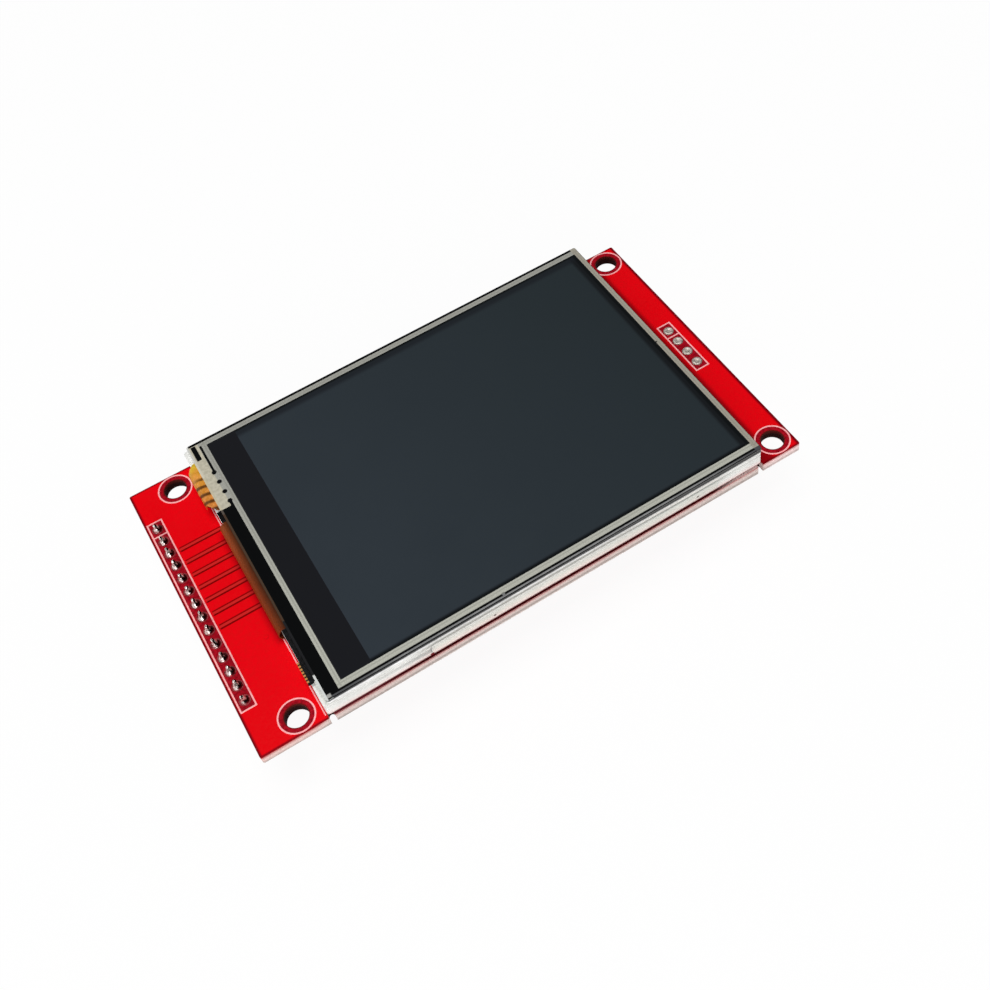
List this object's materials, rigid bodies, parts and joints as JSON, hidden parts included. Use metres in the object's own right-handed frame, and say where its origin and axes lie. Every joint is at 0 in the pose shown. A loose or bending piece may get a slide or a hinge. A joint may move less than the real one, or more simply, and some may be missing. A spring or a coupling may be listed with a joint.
{
  "type": "tft display module",
  "caption": "Small colour TFT display with a resistive touch panel on a red circuit board, with a soldered pin header, corner fixing holes and a memory-card socket on the back.",
  "frame": {"origin": "centre of the rectangle of the four fixing holes, on the back face of the circuit board", "axes": "+X along the board's length, from the long pin header to the short one; +Y across it; +Z out of the screen"},
  "size_m": [0.086, 0.05, 0.0142],
  "materials": {
    "red_mask": "glossy red solder mask on laminate",
    "ink": "white screen-printed ink",
    "plating": "tinned lands and barrels",
    "solder": "bright solder",
    "black_insulator": "black moulded insulator",
    "pin_metal": "plated pins",
    "foam": "closed-cell foam tape",
    "white_moulding": "white moulded frame",
    "white_film": "white reflector film",
    "clear_plastic": "clear optical plastic",
    "optical_film": "optical sheet",
    "black_tape": "black adhesive tape",
    "flex_yellow": "polyimide flex",
    "flex_brown": "brown polyimide flex",
    "diode_body": "white diode body with yellow phosphor",
    "polarizer": "dark polarizing film",
    "dark_glass": "display glass",
    "chip_silicon": "bare silicon",
    "touch_glass": "touch glass edge",
    "touch_face": "glossy dark touch film",
    "border_print": "dark border print under gloss",
    "silver_print": "silver conductive print",
    "clear_tape": "clear tape",
    "socket_steel": "folded stainless sheet",
    "tinned_lead": "tinned leads and end caps",
    "package": "black moulded package",
    "resistor_glaze": "black resistor glaze",
    "capacitor_ceramic": "tan ceramic"
  },
  "bodies": {
    "root": {"circuit_board": "red_mask", "silkscreen": "ink", "header_hole_plating": "plating", "card_hole_plating": "plating", "solder_joints": "solder", "card_hole_solder": "solder", "header_strip": "black_insulator", "header_pin_1": "pin_metal", "header_pin_2": "pin_metal", "header_pin_3": "pin_metal", "header_pin_4": "pin_metal", "header_pin_5": "pin_metal", "header_pin_6": "pin_metal", "header_pin_7": "pin_metal", "header_pin_8": "pin_metal", "header_pin_9": "pin_metal", "header_pin_10": "pin_metal", "header_pin_11": "pin_metal", "header_pin_12": "pin_metal", "header_pin_13": "pin_metal", "header_pin_14": "pin_metal", "foam_tape_near": "foam", "foam_tape_far": "foam", "backlight_frame": "white_moulding", "reflector_sheet": "white_film", "light_guide": "clear_plastic", "diffuser_sheet": "optical_film", "prism_sheet_lower": "optical_film", "prism_sheet_upper": "optical_film", "rim_tape": "black_tape", "led_flex": "flex_yellow", "backlight_leds": "diode_body", "rear_polarizer": "polarizer", "array_glass": "dark_glass", "colour_glass": "dark_glass", "front_polarizer": "polarizer", "driver_chip": "chip_silicon", "lcd_flex": "flex_brown", "touch_adhesive": "black_tape", "touch_glass": "touch_glass", "touch_spacer": "clear_tape", "touch_film": "touch_face", "touch_border_print": "border_print", "touch_silver_print": "silver_print", "touch_flex": "flex_yellow", "side_tape": "clear_tape", "card_socket_base": "black_insulator", "card_socket_shell": "socket_steel", "card_socket_springs": "pin_metal", "touch_controller": "package", "touch_controller_leads": "tinned_lead", "voltage_regulator": "package", "backlight_transistor": "package", "resistor_bodies": "resistor_glaze", "resistor_ends": "tinned_lead", "capacitor_bodies": "capacitor_ceramic", "capacitor_ends": "tinned_lead"}
  },
  "joints": []
}
